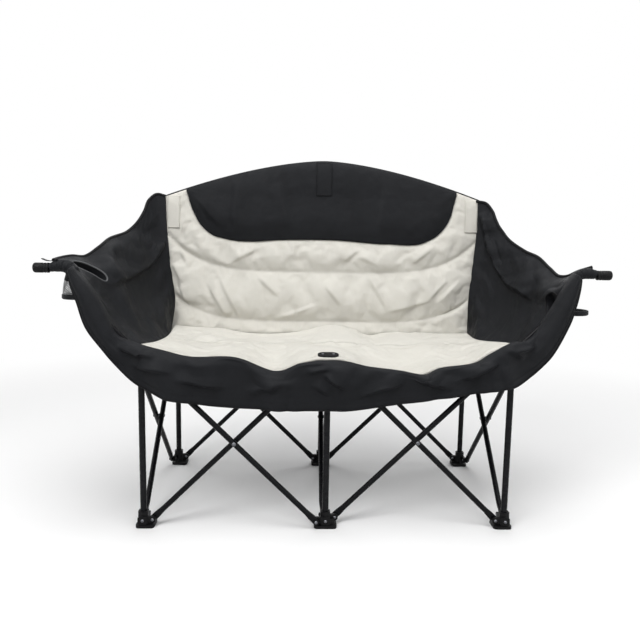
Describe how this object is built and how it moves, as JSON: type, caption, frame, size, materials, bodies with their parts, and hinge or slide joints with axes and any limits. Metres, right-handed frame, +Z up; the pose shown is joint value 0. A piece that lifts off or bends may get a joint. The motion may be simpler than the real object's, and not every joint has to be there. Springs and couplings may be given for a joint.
{
  "type": "folding camping loveseat",
  "caption": "Folding double camp chair: a scissor-braced black tube frame on moulded feet carries a padded bucket sling with a headrest, arm slings and hanging mesh cup holders.",
  "frame": {"origin": "on the floor, under the middle of the opened chair's bounding box", "axes": "+X to the right as seen from the front, +Y from the front to the back, +Z up"},
  "size_m": [1.4068, 0.5219, 0.964],
  "materials": {
    "frame_tube": "black powder coat, low gloss",
    "moulding": "black moulded nylon, fine grain",
    "rivet": "bright zinc-plated steel",
    "black_cloth": "black coated polyester weave, soft sheen",
    "pale_cloth": "pale beige padded polyester weave",
    "cup_mesh": "light grey open mesh"
  },
  "bodies": {
    "front_center_leg": {"front_center_foot": "moulding", "front_center_outer_leg": "frame_tube"},
    "hub": {"front_center_hub": "moulding", "front_center_inner_leg": "frame_tube", "front_apron": "black_cloth", "clamp_plate": "moulding"},
    "center_front_brace": {"center_front_brace": "frame_tube", "center_rivet": "rivet"},
    "center_rear_brace": {"center_rear_brace": "frame_tube"},
    "rear_center_post": {"rear_center_post": "frame_tube", "rear_center_foot": "moulding", "center_pole_pocket": "black_cloth", "back_panel": "pale_cloth"},
    "rear_center_collar": {"rear_center_collar": "moulding"},
    "seat_front": {"seat_front": "pale_cloth"},
    "seat_rear": {"seat_rear": "pale_cloth"},
    "left_arm": {"left_arm_tube": "frame_tube", "left_arm_sleeve": "black_cloth", "left_handle_cap": "moulding", "left_cup_holder": "cup_mesh", "front_left_rivet": "rivet"},
    "front_left_brace": {"front_left_brace": "frame_tube"},
    "front_left_leg": {"front_left_foot": "moulding", "front_left_outer_leg": "frame_tube"},
    "front_left_collar": {"front_left_collar": "moulding", "front_left_inner_leg": "frame_tube"},
    "left_side_front_brace": {"left_side_front_brace": "frame_tube", "left_side_rivet": "rivet"},
    "left_side_rear_brace": {"left_side_rear_brace": "frame_tube"},
    "rear_left_post": {"rear_left_post": "frame_tube", "rear_left_foot": "moulding", "left_pole_pocket": "pale_cloth"},
    "rear_left_collar": {"rear_left_collar": "moulding"},
    "rear_left_outer_brace": {"rear_left_outer_brace": "frame_tube", "rear_left_rivet": "rivet"},
    "rear_left_inner_brace": {"rear_left_inner_brace": "frame_tube"},
    "left_wing_front": {"left_wing_front": "black_cloth"},
    "left_wing_rear": {"left_wing_rear": "black_cloth"},
    "right_arm": {"right_arm_tube": "frame_tube", "right_arm_sleeve": "black_cloth", "right_handle_cap": "moulding", "right_cup_holder": "cup_mesh", "front_right_rivet": "rivet"},
    "front_right_brace": {"front_right_brace": "frame_tube"},
    "front_right_leg": {"front_right_foot": "moulding", "front_right_outer_leg": "frame_tube"},
    "front_right_collar": {"front_right_collar": "moulding", "front_right_inner_leg": "frame_tube"},
    "right_side_front_brace": {"right_side_front_brace": "frame_tube", "right_side_rivet": "rivet"},
    "right_side_rear_brace": {"right_side_rear_brace": "frame_tube"},
    "rear_right_post": {"rear_right_post": "frame_tube", "rear_right_foot": "moulding", "right_pole_pocket": "pale_cloth"},
    "rear_right_collar": {"rear_right_collar": "moulding"},
    "rear_right_outer_brace": {"rear_right_outer_brace": "frame_tube", "rear_right_rivet": "rivet"},
    "rear_right_inner_brace": {"rear_right_inner_brace": "frame_tube"},
    "right_wing_front": {"right_wing_front": "black_cloth"},
    "right_wing_rear": {"right_wing_rear": "black_cloth"}
  },
  "joints": [
    {"name": "frame_fold", "type": "hinge", "parent": "front_center_leg", "child": "left_arm", "pos_m": [-0.024, -0.236, 0.02], "axis": [0, 1, 0], "range_deg": [0, 35.5], "deforming": ["seat_front", "seat_rear", "back_panel", "front_apron", "left_wing_front", "left_wing_rear", "right_wing_front", "right_wing_rear"]},
    {"name": "right_arm_fold", "type": "hinge", "parent": "front_center_leg", "child": "right_arm", "pos_m": [0.024, -0.2, 0.02], "axis": [0, 1, 0], "range_deg": [-35.5, 0]},
    {"name": "front_left_crossing", "type": "hinge", "parent": "left_arm", "child": "front_left_brace", "pos_m": [-0.23, -0.218, 0.222], "axis": [0, 1, 0], "range_deg": [-71, 0]},
    {"name": "front_left_foot_pivot", "type": "hinge", "parent": "front_left_brace", "child": "front_left_leg", "pos_m": [-0.436, -0.218, 0.02], "axis": [0, 1, 0], "range_deg": [0, 35.5]},
    {"name": "front_left_collar_pivot", "type": "hinge", "parent": "left_arm", "child": "front_left_collar", "pos_m": [-0.436, -0.236, 0.424], "axis": [0, 1, 0], "range_deg": [-35.5, 0]},
    {"name": "front_right_crossing", "type": "hinge", "parent": "right_arm", "child": "front_right_brace", "pos_m": [0.23, -0.218, 0.222], "axis": [0, 1, 0], "range_deg": [0, 71]},
    {"name": "front_right_foot_pivot", "type": "hinge", "parent": "front_right_brace", "child": "front_right_leg", "pos_m": [0.436, -0.218, 0.02], "axis": [0, 1, 0], "range_deg": [-35.5, 0]},
    {"name": "front_right_collar_pivot", "type": "hinge", "parent": "right_arm", "child": "front_right_collar", "pos_m": [0.436, -0.2, 0.424], "axis": [0, 1, 0], "range_deg": [0, 35.5]},
    {"name": "hub_pivot", "type": "hinge", "parent": "front_left_brace", "child": "hub", "pos_m": [-0.024, -0.218, 0.424], "axis": [0, 1, 0], "range_deg": [0, 35.5]},
    {"name": "center_foot_pivot", "type": "hinge", "parent": "front_center_leg", "child": "center_front_brace", "pos_m": [-0.008, -0.194, 0.02], "axis": [1, 0, 0], "range_deg": [0, 35.5]},
    {"name": "center_crossing", "type": "hinge", "parent": "center_front_brace", "child": "center_rear_brace", "pos_m": [0, 0.012, 0.222], "axis": [1, 0, 0], "range_deg": [-71, 0]},
    {"name": "rear_center_foot_pivot", "type": "hinge", "parent": "center_rear_brace", "child": "rear_center_post", "pos_m": [0.008, 0.218, 0.02], "axis": [1, 0, 0], "range_deg": [0, 35.5]},
    {"name": "rear_center_collar_pivot", "type": "hinge", "parent": "center_front_brace", "child": "rear_center_collar", "pos_m": [-0.008, 0.218, 0.424], "axis": [1, 0, 0], "range_deg": [-35.5, 0]},
    {"name": "left_side_foot_pivot", "type": "hinge", "parent": "front_left_leg", "child": "left_side_front_brace", "pos_m": [-0.462, -0.194, 0.02], "axis": [1, 0, 0], "range_deg": [0, 35.5]},
    {"name": "left_side_crossing", "type": "hinge", "parent": "left_side_front_brace", "child": "left_side_rear_brace", "pos_m": [-0.47, 0.012, 0.222], "axis": [1, 0, 0], "range_deg": [-71, 0]},
    {"name": "rear_left_foot_pivot", "type": "hinge", "parent": "left_side_rear_brace", "child": "rear_left_post", "pos_m": [-0.478, 0.218, 0.02], "axis": [1, 0, 0], "range_deg": [0, 35.5]},
    {"name": "rear_left_collar_pivot", "type": "hinge", "parent": "left_side_front_brace", "child": "rear_left_collar", "pos_m": [-0.462, 0.218, 0.424], "axis": [1, 0, 0], "range_deg": [-35.5, 0]},
    {"name": "rear_left_outer_pivot", "type": "hinge", "parent": "rear_center_post", "child": "rear_left_outer_brace", "pos_m": [-0.024, 0.234, 0.02], "axis": [0, 1, 0], "range_deg": [0, 35.5]},
    {"name": "rear_left_crossing", "type": "hinge", "parent": "rear_left_outer_brace", "child": "rear_left_inner_brace", "pos_m": [-0.23, 0.242, 0.222], "axis": [0, 1, 0], "range_deg": [-71, 0]},
    {"name": "right_side_foot_pivot", "type": "hinge", "parent": "front_right_leg", "child": "right_side_front_brace", "pos_m": [0.462, -0.194, 0.02], "axis": [1, 0, 0], "range_deg": [0, 35.5]},
    {"name": "right_side_crossing", "type": "hinge", "parent": "right_side_front_brace", "child": "right_side_rear_brace", "pos_m": [0.47, 0.012, 0.222], "axis": [1, 0, 0], "range_deg": [-71, 0]},
    {"name": "rear_right_foot_pivot", "type": "hinge", "parent": "right_side_rear_brace", "child": "rear_right_post", "pos_m": [0.478, 0.218, 0.02], "axis": [1, 0, 0], "range_deg": [0, 35.5]},
    {"name": "rear_right_collar_pivot", "type": "hinge", "parent": "right_side_front_brace", "child": "rear_right_collar", "pos_m": [0.462, 0.218, 0.424], "axis": [1, 0, 0], "range_deg": [-35.5, 0]},
    {"name": "rear_right_outer_pivot", "type": "hinge", "parent": "rear_center_post", "child": "rear_right_outer_brace", "pos_m": [0.024, 0.234, 0.02], "axis": [0, 1, 0], "range_deg": [-35.5, 0]},
    {"name": "rear_right_crossing", "type": "hinge", "parent": "rear_right_outer_brace", "child": "rear_right_inner_brace", "pos_m": [0.23, 0.242, 0.222], "axis": [0, 1, 0], "range_deg": [0, 71]},
    {"name": "seat_lip_fold", "type": "hinge", "parent": "hub", "child": "seat_front", "pos_m": [0, -0.234, 0.4399], "axis": [1, 0, 0], "range_deg": [-77.28, 0]},
    {"name": "seat_middle_fold", "type": "hinge", "parent": "seat_front", "child": "seat_rear", "pos_m": [0, -0.034, 0.4399], "axis": [1, 0, 0], "range_deg": [0, 154.57]},
    {"name": "left_wing_fold", "type": "hinge", "parent": "left_arm", "child": "left_wing_front", "pos_m": [-0.1796, -0.236, 0.5061], "axis": [0, 1, 0], "range_deg": [-35.5, 0]},
    {"name": "left_wing_gather", "type": "slide", "parent": "left_wing_front", "child": "left_wing_rear", "axis": [0, -1, 0], "range_m": [0, 0.3112]},
    {"name": "right_wing_fold", "type": "hinge", "parent": "right_arm", "child": "right_wing_front", "pos_m": [0.1796, -0.2, 0.5061], "axis": [0, 1, 0], "range_deg": [0, 35.5]},
    {"name": "right_wing_gather", "type": "slide", "parent": "right_wing_front", "child": "right_wing_rear", "axis": [0, -1, 0], "range_m": [0, 0.3112]}
  ],
  "couplings": [
    {"joint": "right_arm_fold", "follows": "frame_fold", "ratio": -1},
    {"joint": "front_left_crossing", "follows": "frame_fold", "ratio": -2},
    {"joint": "front_left_foot_pivot", "follows": "frame_fold", "ratio": 1},
    {"joint": "front_left_collar_pivot", "follows": "frame_fold", "ratio": -1},
    {"joint": "front_right_crossing", "follows": "frame_fold", "ratio": 2},
    {"joint": "front_right_foot_pivot", "follows": "frame_fold", "ratio": -1},
    {"joint": "front_right_collar_pivot", "follows": "frame_fold", "ratio": 1},
    {"joint": "hub_pivot", "follows": "frame_fold", "ratio": 1},
    {"joint": "center_foot_pivot", "follows": "frame_fold", "ratio": 1},
    {"joint": "center_crossing", "follows": "frame_fold", "ratio": -2},
    {"joint": "rear_center_foot_pivot", "follows": "frame_fold", "ratio": 1},
    {"joint": "rear_center_collar_pivot", "follows": "frame_fold", "ratio": -1},
    {"joint": "left_side_foot_pivot", "follows": "frame_fold", "ratio": 1},
    {"joint": "left_side_crossing", "follows": "frame_fold", "ratio": -2},
    {"joint": "rear_left_foot_pivot", "follows": "frame_fold", "ratio": 1},
    {"joint": "rear_left_collar_pivot", "follows": "frame_fold", "ratio": -1},
    {"joint": "rear_left_outer_pivot", "follows": "frame_fold", "ratio": 1},
    {"joint": "rear_left_crossing", "follows": "frame_fold", "ratio": -2},
    {"joint": "right_side_foot_pivot", "follows": "frame_fold", "ratio": 1},
    {"joint": "right_side_crossing", "follows": "frame_fold", "ratio": -2},
    {"joint": "rear_right_foot_pivot", "follows": "frame_fold", "ratio": 1},
    {"joint": "rear_right_collar_pivot", "follows": "frame_fold", "ratio": -1},
    {"joint": "rear_right_outer_pivot", "follows": "frame_fold", "ratio": -1},
    {"joint": "rear_right_crossing", "follows": "frame_fold", "ratio": 2},
    {"joint": "seat_lip_fold", "follows": "frame_fold", "ratio": -2.177},
    {"joint": "seat_middle_fold", "follows": "frame_fold", "ratio": 4.354},
    {"joint": "left_wing_fold", "follows": "frame_fold", "ratio": -1},
    {"joint": "left_wing_gather", "follows": "frame_fold", "m_per_rad": 0.50226},
    {"joint": "right_wing_fold", "follows": "frame_fold", "ratio": 1},
    {"joint": "right_wing_gather", "follows": "frame_fold", "m_per_rad": 0.50226}
  ]
}
